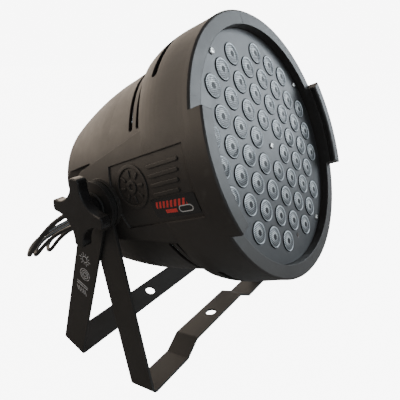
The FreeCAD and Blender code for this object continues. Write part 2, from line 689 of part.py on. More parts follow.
def rounded_bar(y0, y1, z, height):
    r = height / 2
    flat = box(-200, 200, y0 + r, y1 - r, z - r, z + r)
    return flat.fuse([cyl_x(r, -200, 200, y0 + r, z), cyl_x(r, -200, 200, y1 - r, z)])


def make_labels():
    label = side_prism([(4.8, -22.6), (4.8, -8.6), (6.2, -7.4), (49.6, -6.4), (51.0, -7.8), (51.0, -20.8),
                        (49.6, -22.2), (6.2, -23.8)])
    add("label_plate", skin_patch(label, 0.0, 0.5))
    cy, cz = 67.0, 7.0
    disc = cyl_x(18.5, -200, 200, cy, cz).cut(cyl_x(15.6, -201, 201, cy, cz))
    core = cyl_x(5.4, -200, 200, cy, cz).cut(cyl_x(2.6, -201, 201, cy, cz))
    rays = []
    for i in range(8):
        ray = rounded_bar(7.6, 14.0, 0, 2.2)
        ray.rotate(V(0, 0, 0), V(1, 0, 0), 45 * i)
        ray.translate(V(0, cy, cz))
        rays.append(ray)
    bars = [rounded_bar(10.0 + 2.0 * i, 44.0, 18.6 - 7.4 * i, 3.0) for i in range(4)]
    pieces = [disc, core] + rays + bars
    add("emblem", Part.makeCompound([skin_patch(p, 0.0, relief) for p in pieces]))


# ---- yokes --------------------------------------------------------------------------
def strap(path, thick):
    """Flat strap bent along a path of (x, z) points: outer face on the path, thickness inside."""
    inner = []
    for i, (x, z) in enumerate(path):
        before = path[max(i - 1, 0)]
        after = path[min(i + 1, len(path) - 1)]
        d0 = V(x - before[0], 0, z - before[1]) if i else V(after[0] - x, 0, after[1] - z)
        d1 = V(after[0] - x, 0, after[1] - z) if i < len(path) - 1 else d0
        d0.normalize()
        d1.normalize()
        n0, n1 = V(-d0.z, 0, d0.x), V(-d1.z, 0, d1.x)
        middle = (n0 + n1).normalize()
        inner.append(V(x, 0, z) + middle * (thick / middle.dot(n0)))
    outer = [V(x, 0, z) for x, z in path]
    pts = outer + list(reversed(inner))
    for p in pts:
        p.y = -strap_width / 2
    solid = Part.Face(Part.makePolygon(pts + [pts[0]])).extrude(V(0, strap_width, 0))
    bends_out, bends_in = [], []
    for edge in solid.Edges:
        a, b = edge.Vertexes[0].Point, edge.Vertexes[-1].Point
        if abs(abs(a.y - b.y) - strap_width) > 0.01:
            continue
        for i in range(1, len(path) - 1):
            turn = (V(path[i][0] - path[i - 1][0], 0, path[i][1] - path[i - 1][1])
                    .cross(V(path[i + 1][0] - path[i][0], 0, path[i + 1][1] - path[i][1]))).y
            for spot, wide in ((outer[i], turn < 0), (inner[i], turn > 0)):
                if abs(a.x - spot.x) < 0.01 and abs(a.z - spot.z) < 0.01:
                    (bends_out if wide else bends_in).append(edge)
    solid = solid.makeFillet(bend_r, bends_in)
    redo = []
    for edge in solid.Edges:
        a, b = edge.Vertexes[0].Point, edge.Vertexes[-1].Point
        for old in bends_out:
            c = old.Vertexes[0].Point
            if abs(abs(a.y - b.y) - strap_width) < 0.01 and abs(a.x - c.x) < 0.01 and abs(a.z - c.z) < 0.01:
                redo.append(edge)
    return solid.makeFillet(bend_r + thick, redo)


def make_yoke(name, half_span, length, lean_deg, hat):
    path = [(-half_span, 0), (-half_span, -length)]
    if hat:
        path += [(-hat_foot, -length), (-hat_flat, -length + hat_rise), (hat_flat, -length + hat_rise),
                 (hat_foot, -length)]
    path += [(half_span, -length), (half_span, 0)]
    body = strap(path, strap_thick)
    eye = cyl_x(eye_r, half_span - strap_thick, half_span)
    body = fuse([body, eye, mirror_x(eye)])
    body = body.cut([cyl_x(stud_r + running, -200, 200), cyl_z(mount_hole_r, -length - 5, -length + 30)])
    body.rotate(V(0, 0, 0), V(1, 0, 0), lean_deg)
    body.translate(V(0, 0, pivot_height))
    add(name, body)


# ---- knobs --------------------------------------------------------------------------
def make_knobs():
    washer_in = rear_half_span + fit
    hub_in = washer_in + washer_thick + fit
    star_in = hub_in + knob_hub
    star_out = star_in + knob_thick
    reach = knob_r + 6.6
    bite = reach - knob_waist
    star = cyl_x(knob_r, star_in, star_out)
    for i in range(4):
        a = math.radians(lobe_deg + 45 + 90 * i)
        star = star.cut(cyl_x(bite, star_in - 1, star_out + 1, reach * math.cos(a), reach * math.sin(a)))
    spans = [(e, e.BoundBox) for e in star.Edges]
    tips = [e for e, b in spans if abs(b.XLength - knob_thick) < 0.01 and b.YLength < 0.01]
    star = star.makeFillet(3.2, tips)
    rims = [e for e in star.Edges if e.BoundBox.XLength < 0.01]
    star = star.makeFillet(0.9, rims)
    hub = Part.makeCone(knob_hub_r, knob_hub_r + 2.5, knob_hub + 0.5, V(hub_in, 0, 0), V(1, 0, 0))
    socket = cyl_x(stud_r, hub_in - 1, star_out - 3.0)
    knob = fuse([star, hub]).cut(socket)
    stud = cyl_x(stud_r, insert_in + 0.5, star_out - 3.0)
    washer = cyl_x(washer_r, washer_in, washer_in + washer_thick).cut(cyl_x(stud_r + running, 0, 200))
    for name, s in (("left", -1), ("right", 1)):
        for piece, shape in (("knob_", knob), ("knob_stud_", stud), ("washer_", washer)):
            part = shape.copy() if s > 0 else mirror_x(shape)
            part.rotate(V(0, 0, 0), V(1, 0, 0), -beam_up_deg)
            part.translate(V(0, 0, pivot_height))
            add(piece + name, part)


# ---- glands, leads, plugs -----------------------------------------------------------
def make_gland(name):
    neck, tail, d = gland_neck[name], gland_tail, cord_d[name]
    face = head_end
    rings = []
    y = face + 7.0
    body = [(d / 2, face - wall - 4.0), (neck - 0.1, face - wall - 4.0), (neck - 0.1, face + 0.05),
            (neck + 2.6, face + 0.05), (neck + 2.6, face + 3.0), (neck + 0.6, face + 5.0), (d / 2 + 2.6, y)]
    for i in range(5):
        r = d / 2 + 2.4 - 0.28 * i
        rings += [(r, y + 0.2), (r, y + 2.6), (r - 0.7, y + 2.8), (r - 0.7, y + 4.2)]
        y += 4.2
    body += rings + [(d / 2 + 1.2, face + tail), (d / 2, face + tail)]
    gland = revolve(body)
    x, z = gland_at[name]
    gland.translate(V(x, 0, z))
    add(name + "_gland", gland, cord=True)
    return place_point(x, face + tail, z), place_point(x, face - wall - 4.0, z)


def make_leads():
    end, start = make_gland("mains")
    route = [end] + [V(*p) for p in mains_route]
    lead = tube(route, mains_d, "mains_lead")
    inner = Part.makeCylinder(mains_d / 2, (end - start).Length, start, end - start)
    add("mains_lead", fuse([lead, inner]), cord=True)
    half = coil_turns_wide * mains_d / 2 + 0.1
    height = coil_layers * (mains_d + 0.1) - 0.1
    cx, cy = coil_at
    coil = cyl_z(coil_mean_r + half, 0, height, cx, cy).cut(cyl_z(coil_mean_r - half, -1, height + 1, cx, cy))
    add("mains_coil", coil, cord=True)
    tail = [V(*p) for p in mains_tail_route]
    add("mains_tail", tube(tail, mains_d, "mains_tail"), cord=True)
    make_mains_plug(tail[-1], tail[-1] - tail[-2])
    for name, points in signal_routes.items():
        end, start = make_gland(name)
        route = [end] + [V(*p) for p in points]
        lead = tube(route, signal_d, name + "_lead")
        inner = Part.makeCylinder(signal_d / 2, (end - start).Length, start, end - start)
        add(name + "_lead", fuse([lead, inner]), cord=True)
        make_signal_plug(name, route[-1])


def lay(shape, at, direction):
    """Turn a piece built along +Y from the origin to lie level at a point, heading the same way."""
    angle = math.degrees(math.atan2(-direction.x, direction.y))
    shape.rotate(V(0, 0, 0), V(0, 0, 1), angle)
    shape.translate(at)
    return shape


def make_mains_plug(at, direction):
    boot = [(0, 0), (4.6, 0), (5.4, 12), (6.6, 26), (9.5, 30)]
    plug = revolve(boot + [(16.5, 40), (18.6, 46), (18.6, 62), (17.6, 63), (0, 63)])
    grip = [cyl_z(9.0, -30, 30, s * 24.6, 50) for s in (-1, 1)]
    pins = []
    for s in (-1, 1):
        pins.append(fuse([cyl_y(2.4, 60, 80.5, s * 9.5, 0), Part.makeSphere(2.4, V(s * 9.5, 80.5, 0))]))
    flats = [box(s * 17.0 - 4, s * 17.0 + 4, 60, 64, -4, 4) for s in (-1, 1)]
    add("mains_plug", lay(fuse([plug.cut(grip + flats)] + pins), at, direction), cord=True)


def make_signal_plug(name, at):
    boot = [(0, 0), (4.4, 0), (5.0, 10), (6.4, 22), (8.6, 26), (9.4, 30), (9.4, 66), (0, 66)]
    pins = [around(3.6, a) for a in (0, 120, 240)]
    if name == "signal_in":
        shell = revolve(boot).fuse(cyl_y(9.4, 60, 82)).cut(cyl_y(7.9, 66, 90))
        shell = shell.fuse([cyl_y(1.2, 65, 78, x, z) for x, z in pins])
    else:
        shell = revolve(boot).fuse(cyl_y(7.8, 60, 82)).cut([cyl_y(1.3, 70, 90, x, z) for x, z in pins])
        shell = shell.fuse(box(-3, 3, 50, 60, 8.0, 9.6).common(cyl_y(9.59, 40, 70)))
    add(name + "_plug", lay(shell.removeSplitter(), at, V(1, 0, 0)), cord=True)


# ---- build, stand on the floor's frame and write ------------------------------------
def build():
    make_lens_field()
    make_shells()
    make_housing()
    make_cooling()
    make_electronics()
    make_rear_panel()
    make_labels()
    for name in list(nodes):
        nodes[name] = place(nodes[name])
    make_yoke("rear_yoke", rear_half_span, rear_yoke_length, rear_yoke_deg, False)
    make_yoke("front_yoke", front_half_span, front_yoke_length, -front_yoke_deg, True)
    make_knobs()
    level = set(nodes)
    make_leads()
    for name in set(nodes) - level:
        if name.endswith("_gland"):
            nodes[name] = place(nodes[name])


build()
spans = [nodes[n].optimalBoundingBox(False, False) for n in nodes if n not in cords]
middle_y = (min(b.YMin for b in spans) + max(b.YMax for b in spans)) / 2
os.makedirs("parts", exist_ok=True)
for name, shape in nodes.items():
    shape.translate(V(0, -middle_y, 0))
    good = shape.isValid() and all(s.isClosed() for s in shape.Shells)
    state = "" if good else "BAD"
    print("%-20s solids %3d volume %10.0f %s" % (name, len(shape.Solids), shape.Volume, state))
    shape.exportStep("parts/%s.step" % name)
print("nodes %d, middle_y %.4f, pivot height %.4f, front yoke length %.4f, rear yoke length %.4f"
      % (len(nodes), middle_y, pivot_height, front_yoke_length, rear_yoke_length))
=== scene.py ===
import json
import math
import bpy
import numpy as np
from mathutils import Euler, Matrix, Vector


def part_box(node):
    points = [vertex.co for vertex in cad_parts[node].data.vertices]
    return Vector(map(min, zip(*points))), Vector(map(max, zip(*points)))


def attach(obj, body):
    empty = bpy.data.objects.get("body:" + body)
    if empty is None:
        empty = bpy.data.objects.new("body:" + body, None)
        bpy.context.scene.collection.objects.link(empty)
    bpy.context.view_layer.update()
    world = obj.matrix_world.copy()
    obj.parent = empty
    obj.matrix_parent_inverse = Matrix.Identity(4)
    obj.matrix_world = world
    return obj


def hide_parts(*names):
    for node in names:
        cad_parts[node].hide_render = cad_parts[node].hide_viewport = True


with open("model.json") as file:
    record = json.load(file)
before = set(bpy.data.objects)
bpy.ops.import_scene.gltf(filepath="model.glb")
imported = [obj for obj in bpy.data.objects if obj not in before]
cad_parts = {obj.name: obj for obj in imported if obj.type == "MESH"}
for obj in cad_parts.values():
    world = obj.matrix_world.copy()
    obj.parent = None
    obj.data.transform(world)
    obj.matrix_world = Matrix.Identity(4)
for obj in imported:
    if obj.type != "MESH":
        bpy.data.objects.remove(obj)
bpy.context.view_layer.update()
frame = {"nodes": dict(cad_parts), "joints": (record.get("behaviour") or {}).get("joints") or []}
nodes = frame["nodes"]
mm = 0.001

# the row frame stands on the floor; the head frame starts at the lens plate and runs back along the beam
head = {
    "beamUp": math.radians(23.04),
    "pivotBack": 0.1108,  # metres from the lens plate
    "end": 203.0, "glandEnd": 233.0,  # mm from the lens plate
}
joints = {j["name"]: j for j in frame["joints"]}
pivot = Vector(joints["rear_yoke_tilt"]["pos_m"])
foot = Vector((0, pivot.y, 0))  # under the pivot, where the leads' points are counted from
toRow = (Matrix.Translation(pivot) @ Matrix.Rotation(-head["beamUp"], 4, "X")
         @ Matrix.Translation((0, -head["pivotBack"], 0)))
scene = bpy.context.scene
print("frame loaded: %d nodes" % len(nodes))


def addObject(name, data):
    obj = bpy.data.objects.new(name, data)
    scene.collection.objects.link(obj)
    return obj


# where the camera stands from the foot of the pivot, in metres, and its turns in degrees
camera = {"at": (-0.32555, -0.24722, 0.32272), "turn": (68.021, -0.481, -55.010),
          "sensor": 36, "lens": 34.106, "nearest": 0.01}


def makeCamera(camera):
    cam = addObject("camera", bpy.data.cameras.new("camera"))
    turn = Euler([math.radians(a) for a in camera["turn"]]).to_matrix().to_4x4()
    cam.matrix_world = Matrix.Translation(foot + Vector(camera["at"])) @ turn
    cam.data.sensor_width = camera["sensor"]
    cam.data.lens = camera["lens"]
    cam.data.clip_start = camera["nearest"]
    scene.camera = cam


makeCamera(camera)

# the leads' routes, in millimetres from the foot of the pivot, as in the CAD model
leads = {
    "mains": {
        "diameter": 7.0, "gland": (-45.0, -8.0), "length": 1.5, "end": "plug",
        "nodes": ["mains_lead", "mains_coil", "mains_tail"], "pieces": ["mains_gland", "mains_plug"],
        "route": [(-47, 152, 121), (-51, 196, 91), (-52, 240, 49), (-47, 284, 3.5), (-20, 317, 3.5),
                  (22, 340, 3.5), (80, 350, 3.5), (150, 359, 3.5), (222, 364, 3.5), (270, 350, 3.5),
                  (286, 305, 3.5), (284, 267, 3.5)],
        "tail": [(242, 215, 10.6), (220, 214.5, 11.8), (194, 213, 17.6), (176, 212.5, 19.0)],
        "coil": {"at": (242.0, 257.0), "radii": (42.1, 34.9), "heights": (3.5, 10.6), "turns": 3.287,
                 "perTurn": 16},
    },
    "signal_in": {
        "diameter": 6.0, "gland": (-28.0, -30.0), "length": 0.427, "end": "connector",
        "nodes": ["signal_in_lead"], "pieces": ["signal_in_gland", "signal_in_plug"],
        "route": [(-31, 142, 102.5), (-37, 190, 79), (-41, 233, 47), (-40, 277, 3.1), (-16, 308, 3.1),
                  (24, 330, 3.1), (74, 338, 3.1), (108, 338.5, 4.6), (136, 338, 9.3), (156, 338, 9.6)],
    },
    "signal_out": {
        "diameter": 6.0, "gland": (-8.0, -30.0), "length": 0.408, "end": "connector",
        "nodes": ["signal_out_lead"], "pieces": ["signal_out_gland", "signal_out_plug"],
        "route": [(-9, 143, 101.5), (-13, 188, 78), (-17, 231, 48), (-17, 272, 3.1), (2, 304, 3.1),
                  (38, 323, 3.1), (84, 328, 3.1), (116, 322, 4.6), (143, 316, 9.3), (162, 315, 9.6)],
    },
}


# a coil is a circle whose radius and height change from lane to lane, eased over half a lane
def coilPoints(coil, start):
    x0, y0 = coil["at"]
    first = math.atan2(start[1] - y0, start[0] - x0)
    outer, inner = coil["radii"]
    low, high = coil["heights"]
    lanes = np.array([(outer, low), (inner, low), (inner, high), (outer, high)])
    count = int(coil["perTurn"] * coil["turns"])
    part = np.arange(1, count) / count
    share = part * len(lanes) - 0.5
    lane = np.clip(share.astype(int), 0, len(lanes) - 2)
    ease = np.clip((share - lane - 0.25) / 0.5, 0.0, 1.0)
    ease = (ease * ease * (3 - 2 * ease))[:, None]
    r, z = (lanes[lane] * (1 - ease) + lanes[lane + 1] * ease).T
    angle = first - 2 * math.pi * coil["turns"] * part
    r = r / math.cos(math.pi / coil["perTurn"]) ** 0.5  # the curve runs inside its points
    return np.stack([x0 + r * np.cos(angle), y0 + r * np.sin(angle), z], -1).tolist()


def makeCord(name, lead):
    exitAt = toRow @ Vector((lead["gland"][0] * mm, head["glandEnd"] * mm, lead["gland"][1] * mm))
    route = list(lead["route"])
    if "coil" in lead:
        route += coilPoints(lead["coil"], route[-1]) + lead["tail"]
    points = np.vstack([np.array(exitAt), np.array(foot) + np.array(route) * mm])
    data = bpy.data.curves.new(name + "_cord", "CURVE")
    data.dimensions = "3D"
    data.bevel_depth = 1.0  # times each point's radius
    data.bevel_resolution = 5
    data.resolution_u = 10
    data.use_fill_caps = True
    spline = data.splines.new("NURBS")
    spline.points.add(len(route))
    spline.points.foreach_set("co", np.hstack([points, np.ones((len(points), 1))]).ravel())
    spline.points.foreach_set("radius", np.full(len(points), lead["diameter"] * mm / 2))
    spline.order_u = 3
    spline.use_endpoint_u = True
    cord = addObject(name + "_cord", data)
    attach(cord, "head")
    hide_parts(*lead["nodes"])
    return cord


cords = {name: makeCord(name, lead) for name, lead in leads.items()}
print("leads made")


# a shader socket: sums on it add nodes to its tree
class Sock:
    def __init__(self, tree, socket=None):
        self.tree, self.socket = tree, socket

    def node(self, kind, ins=None, out=0, **settings):
        n = self.tree.nodes.new(kind)
        for key, value in settings.items():
            setattr(n, key, value)
        for key, value in (ins or {}).items():
            if isinstance(value, Sock):
                self.tree.links.new(value.socket, n.inputs[key])
            else:
                n.inputs[key].default_value = value
        return Sock(self.tree, n.outputs[out] if n.outputs else None)

    def calc(self, operation, *values):
        return self.node("ShaderNodeMath", dict(enumerate(values)), operation=operation)

    def __add__(self, other):
        return self.calc("ADD", self, other)

    def __sub__(self, other):
        return self.calc("SUBTRACT", self, other)

    def __rsub__(self, other):
        return self.calc("SUBTRACT", other, self)

    def __mul__(self, other):
        return self.calc("MULTIPLY", self, other)

    def __truediv__(self, other):
        return self.calc("DIVIDE", self, other)

    def __pow__(self, other):
        return self.calc("POWER", self, other)

    __radd__ = __add__
    __rmul__ = __mul__

    def lt(self, other):
        return self.calc("LESS_THAN", self, other)

    def gt(self, other):
        return self.calc("GREATER_THAN", self, other)

    def abs(self):
        return self.calc("ABSOLUTE", self)

    def mod(self, other):
        return self.calc("FLOORED_MODULO", self, other)

    def atMost(self, other):
        return self.calc("MINIMUM", self, other)

    def atLeast(self, other):
        return self.calc("MAXIMUM", self, other)

    def ramp(self, low, high):
        ins = {"Value": self, "From Min": low, "From Max": high}
        return self.node("ShaderNodeMapRange", ins, interpolation_type="SMOOTHSTEP")

    def mix(self, a, b):
        ins = {0: self, 6: a, 7: b}
        return self.node("ShaderNodeMix", ins, out=2, data_type="RGBA")

    def vec(self, operation, *values):
        return self.node("ShaderNodeVectorMath", dict(enumerate(values)), operation=operation)

    def axes(self):
        return [self.node("ShaderNodeSeparateXYZ", {0: self}, out=i) for i in range(3)]

    def noise(self, scale, detail=3.0, rough=0.5, stretch=None):
        at = self.vec("MULTIPLY", self, stretch) if stretch else self
        ins = {"Vector": at, "Scale": scale, "Detail": detail, "Roughness": rough}
        return self.node("ShaderNodeTexNoise", ins)

    def voronoi(self, scale, out=0):
        return self.node("ShaderNodeTexVoronoi", {"Vector": self, "Scale": scale}, out=out)

    def softEdge(self, radius):
        return self.node("ShaderNodeBevel", {"Radius": radius}, samples=4)

    def bump(self, strength, distance, normal=None):
        ins = {"Strength": strength, "Distance": distance, "Height": self}
        if normal is not None:
            ins["Normal"] = normal
        return self.node("ShaderNodeBump", ins)


def material(name, build):
    mat = bpy.data.materials.new(name)
    mat.use_nodes = True
    tree = mat.node_tree
    tree.nodes.clear()
    sock = Sock(tree)
    at = sock.node("ShaderNodeTexCoord", out=3)
    values = build(at)
    shader = sock.node("ShaderNodeBsdfPrincipled", values)
    sock.node("ShaderNodeOutputMaterial", {"Surface": shader})
    mat.diffuse_color = (0.05, 0.05, 0.05, 1)
    return mat


# millimetres across, behind and above the middle of the lens plate
def headAt(at):
    ins = {"Vector": at, "Center": tuple(pivot), "Angle": head["beamUp"]}
    turned = at.node("ShaderNodeVectorRotate", ins, rotation_type="X_AXIS")
    moved = turned.vec("SUBTRACT", turned, (pivot.x, pivot.y - head["pivotBack"], pivot.z))
    return moved.vec("MULTIPLY", moved, (1 / mm, 1 / mm, 1 / mm))


def rgb(r, g, b):
    return (r, g, b, 1.0)


def mouldedPlastic(dark, light, rough, grain):
    def build(at):
        cloud = at.noise(14.0, 4.0)
        dust = at.noise(90.0, 5.0, 0.65)
        skin = at.noise(grain, 2.0)
        pits = at.voronoi(grain * 1.3)
        scuff = at.noise(240.0, 2.0, stretch=(0.25, 1.0, 3.0)).ramp(0.66, 0.74)
        base = cloud.ramp(0.3, 0.7).mix(dark, light)
        base = (dust.ramp(0.55, 0.8) * 0.35).mix(base, rgb(0.075, 0.07, 0.066))
        base = (scuff * 0.12).mix(base, rgb(0.12, 0.115, 0.11))
        height = skin * 0.6 + pits * 0.5
        return {"Base Color": base, "Roughness": rough + (dust - 0.5) * 0.16 + scuff * 0.06,
                "Specular IOR Level": 0.5, "Normal": height.bump(0.22, 0.00006, at.softEdge(0.001))}
    return build


def powderCoat(at):
    orange = at.noise(900.0, 2.0)
    fine = at.noise(2600.0, 2.0)
    cloud = at.noise(20.0, 3.0)
    chips = at.noise(160.0, 4.0, 0.7).ramp(0.71, 0.75)
    base = cloud.ramp(0.3, 0.7).mix(rgb(0.017, 0.016, 0.015), rgb(0.024, 0.022, 0.021))
    base = (chips * 0.25).mix(base, rgb(0.09, 0.085, 0.08))
    return {"Base Color": base, "Roughness": cloud * 0.12 + 0.44,
            "Normal": (orange + fine * 0.5).bump(0.25, 0.00006, at.softEdge(0.0006))}


def knobPlastic(at):
    grain = at.noise(1600.0, 2.0)
    rub = at.noise(60.0, 4.0, 0.6)
    base = rub.ramp(0.35, 0.75).mix(rgb(0.015, 0.014, 0.014), rgb(0.023, 0.022, 0.022))
    return {"Base Color": base, "Roughness": rub * 0.12 + 0.18,
            "Normal": grain.bump(0.08, 0.00004, at.softEdge(0.0012))}


def zincPlate(at):
    streak = at.noise(700.0, 3.0, stretch=(1.0, 1.0, 6.0))
    cloud = at.noise(150.0, 3.0)
    base = cloud.ramp(0.3, 0.7).mix(rgb(0.5, 0.5, 0.49), rgb(0.72, 0.72, 0.7))
    return {"Base Color": base, "Metallic": 1.0, "Roughness": streak * 0.2 + 0.2,
            "Normal": streak.bump(0.1, 0.00003)}


def rawAluminium(at):
    line = at.noise(900.0, 3.0, stretch=(1.0, 0.08, 1.0))
    base = line.ramp(0.3, 0.7).mix(rgb(0.55, 0.56, 0.58), rgb(0.68, 0.69, 0.7))
    return {"Base Color": base, "Metallic": 0.9, "Roughness": line * 0.25 + 0.28,
            "Normal": line.bump(0.2, 0.00005)}


def steelSheet(at):
    cell = at.voronoi(140.0, out=1)
    tone = cell.axes()[0]
    base = tone.mix(rgb(0.42, 0.43, 0.44), rgb(0.56, 0.57, 0.58))
    return {"Base Color": base, "Metallic": 0.9, "Roughness": tone * 0.15 + 0.32,
            "Normal": at.noise(1200.0).bump(0.1, 0.00004)}


def brassInsert(at):
    worn = at.noise(400.0, 3.0)
    return {"Base Color": worn.mix(rgb(0.55, 0.4, 0.17), rgb(0.78, 0.6, 0.3)), "Metallic": 1.0,
            "Roughness": worn * 0.2 + 0.25, "Normal": worn.bump(0.15, 0.00005)}


def rubber(dark, light, rough):
    def build(at):
        soft = at.noise(120.0, 4.0, 0.6)
        pores = at.noise(2200.0, 2.0)
        return {"Base Color": soft.ramp(0.3, 0.7).mix(dark, light), "Roughness": soft * 0.16 + rough,
                "Normal": pores.bump(0.25, 0.00006)}
    return build


def circuitBoard(at):
    x, _, z = headAt(at).axes()
    track = ((x.mod(5.0) - 2.5).abs().lt(0.35) + (z.mod(7.0) - 3.5).abs().lt(0.35)).atMost(1.0)
    worn = at.noise(80.0, 3.0)
    base = (track * worn.ramp(0.4, 0.5)).mix(rgb(0.02, 0.08, 0.04), rgb(0.05, 0.17, 0.08))
    return {"Base Color": base, "Roughness": 0.35 + worn * 0.1, "Normal": track.bump(0.3, 0.00006)}


def boardParts(at):
    cell = at.voronoi(45.0, out=1).axes()[0]
    base = cell.mix(rgb(0.02, 0.022, 0.025), rgb(0.09, 0.1, 0.12))
    return {"Base Color": base, "Roughness": 0.3 + cell * 0.25, "Normal": at.noise(900.0).bump(0.15, 0.00006)}


def ledChip(at):
    glow = at.noise(900.0, 2.0)
    return {"Base Color": glow.mix(rgb(0.55, 0.5, 0.2), rgb(0.8, 0.74, 0.35)), "Roughness": glow * 0.1 + 0.15,
            "Coat Weight": 0.6}


# the squared distance from the middle of the nearest cell of a honeycomb
def hexCells(x, z, size):
    wide, tall = size, size * math.sqrt(3)
    ax, az = x.mod(wide) - wide / 2, z.mod(tall) - tall / 2
    bx, bz = (x + wide / 2).mod(wide) - wide / 2, (z + tall / 2).mod(tall) - tall / 2
    return (ax * ax + az * az).atMost(bx * bx + bz * bz)


# where each band of a lens begins and is full, in mm: outwards from its middle, across it or up it; the bands
# of the lighter top, the glare and the rim are painted highlights, and the shade and edge bands are painted
# shade
lensLook = {
    "cell": 1.8, "web": (0.1, 0.4), "webOut": (3.0, 8.0),
    "chip": (2.3, 3.3), "glareOut": (3.8, 7.4), "smooth": (8.2, 8.7),
    "rimIn": (8.3, 8.8), "rimOut": (9.2, 9.5), "edge": (9.2, 9.6),
    "shadeIn": (0.5, 6.5), "shadeOut": (7.2, 8.2), "shadeRound": (3.2, 5.0),
    "painted_top_light": (-7.0, 7.0), "upperGlare": (-4.5, 2.0), "upperRim": (-6.0, 8.0),
}


def lensAcrylic(at):
    look = lensLook
    x, _, z = at.node("ShaderNodeAttribute", attribute_name="lensSpot", out=1).axes()
    radius = (x * x + z * z) ** 0.5
    cell = hexCells(x, z, look["cell"])
    dome = 1.0 - cell / (look["cell"] / 2) ** 2
    core = radius.ramp(*look["chip"])  # 0 at the dark middle, where the chip is
    face = core * (1.0 - radius.ramp(*look["smooth"]))
    # a painted highlight: a bright ring on the lens's bead, stronger towards the top
    rim = radius.ramp(*look["rimIn"]) * (1.0 - radius.ramp(*look["rimOut"]))
    rim = rim * (0.4 + z.ramp(*look["upperRim"]) * 0.6)
    painted_top_light = z.ramp(*look["painted_top_light"])  # painted light: the honeycomb is painted brighter above the chip
    # a painted highlight: a near-white glare over the upper middle of each lens
    glare = (1.0 - radius.ramp(*look["glareOut"])) * z.ramp(*look["upperGlare"])
    shade = x.ramp(*look["shadeIn"]) * (1.0 - x.ramp(*look["shadeOut"]))  # the side away from the light
    shade = shade * radius.ramp(*look["shadeRound"])
    web = cell.ramp(*look["web"]) * (0.7 + radius.ramp(*look["webOut"]) * 0.28)
    base = painted_top_light.mix(rgb(0.2, 0.21, 0.22), rgb(0.7, 0.74, 0.77))
    base = glare.mix(base, rgb(0.95, 0.99, 1.0))
    base = (shade * 0.7).mix(base, rgb(0.05, 0.055, 0.06))
    base = web.mix(base, rgb(0.012, 0.014, 0.016))
    base = core.mix(rgb(0.004, 0.004, 0.005), base)
    # lay on the rim's painted highlight
    base = rim.mix(base, rgb(0.75, 0.8, 0.84))
    # painted shade: the lens's outer edge is darkened as if in the shadow of the gap round it
    base = radius.ramp(*look["edge"]).mix(base, rgb(0.015, 0.016, 0.018))
    return {"Base Color": base, "Metallic": 0.2 * core, "Roughness": 0.5 - core * 0.15,
            "Coat Weight": 0.25 * core, "Coat Roughness": 0.08, "Specular IOR Level": 0.25,
            "Normal": (dome * face).bump(0.7, 0.0004)}


def displayGlass(at):
    _, _, z = headAt(at).axes()
    line = (z.mod(1.2) - 0.6).abs().lt(0.06)  # rows of the display
    smear = at.noise(70.0, 4.0)
    return {"Base Color": (line * 0.3).mix(rgb(0.02, 0.004, 0.005), rgb(0.06, 0.012, 0.012)),
            "Roughness": smear * 0.12 + 0.05, "Coat Weight": 0.8, "Normal": smear.bump(0.03, 0.0001)}


# marks on the label, in mm: back from the lens plate and up from the label's lower edge
labelMarks = {
    "start": 6.2, "drop": 0.03, "foot": 23.8,
    "bars": {"from": 14.0, "to": 47.0, "middle": 10.6, "half": 2.7, "pitch": 4.1, "wide": 2.3, "slant": 0.45},
    "stripe": {"from": 26.0, "to": 38.0, "middle": 4.8, "half": 1.5},
    "pill": {"middle": (17.0, 5.2), "straight": 4.0, "radius": 2.4, "line": 0.4},
}


def labelSheet(at):
    bars, stripe, pill = labelMarks["bars"], labelMarks["stripe"], labelMarks["pill"]
    _, y, z = headAt(at).axes()
    up = z - (y - labelMarks["start"]) * labelMarks["drop"] + labelMarks["foot"]
    slant = (y + up * bars["slant"]).mod(bars["pitch"]).lt(bars["wide"])
    red = (up - bars["middle"]).abs().lt(bars["half"]) * slant * y.gt(bars["from"]) * y.lt(bars["to"])
    red = red + (up - stripe["middle"]).abs().lt(stripe["half"]) * y.gt(stripe["from"]) * y.lt(stripe["to"])
    along = ((y - pill["middle"][0]).abs() - pill["straight"]).atLeast(0.0)
    across = up - pill["middle"][1]
    ring = ((along * along + across * across) ** 0.5 - pill["radius"]).abs().lt(pill["line"])
    fleck = at.noise(900.0, 2.0)
    worn = at.noise(260.0, 4.0, 0.7).ramp(0.28, 0.42)
    base = fleck.mix(rgb(0.016, 0.016, 0.017), rgb(0.024, 0.024, 0.025))
    base = (red * worn).mix(base, rgb(0.66, 0.05, 0.045))
    base = (ring * worn).mix(base, rgb(0.5, 0.5, 0.5))
    return {"Base Color": base, "Roughness": fleck * 0.1 + 0.2, "Normal": fleck.bump(0.05, 0.00004)}


def whiteInk(at):
    worn = at.noise(420.0, 4.0, 0.7).ramp(0.35, 0.55)
    return {"Base Color": worn.mix(rgb(0.16, 0.16, 0.17), rgb(0.6, 0.6, 0.62)),
            "Roughness": 0.55 - worn * 0.1, "Normal": worn.bump(0.1, 0.00003)}


def cordJacket(at):
    soft = at.noise(90.0, 4.0, 0.6)
    fine = at.noise(1800.0, 2.0)
    return {"Base Color": soft.ramp(0.3, 0.7).mix(rgb(0.012, 0.012, 0.013), rgb(0.024, 0.023, 0.023)),
            "Roughness": soft * 0.18 + 0.34, "Normal": (fine + soft).bump(0.2, 0.00008)}


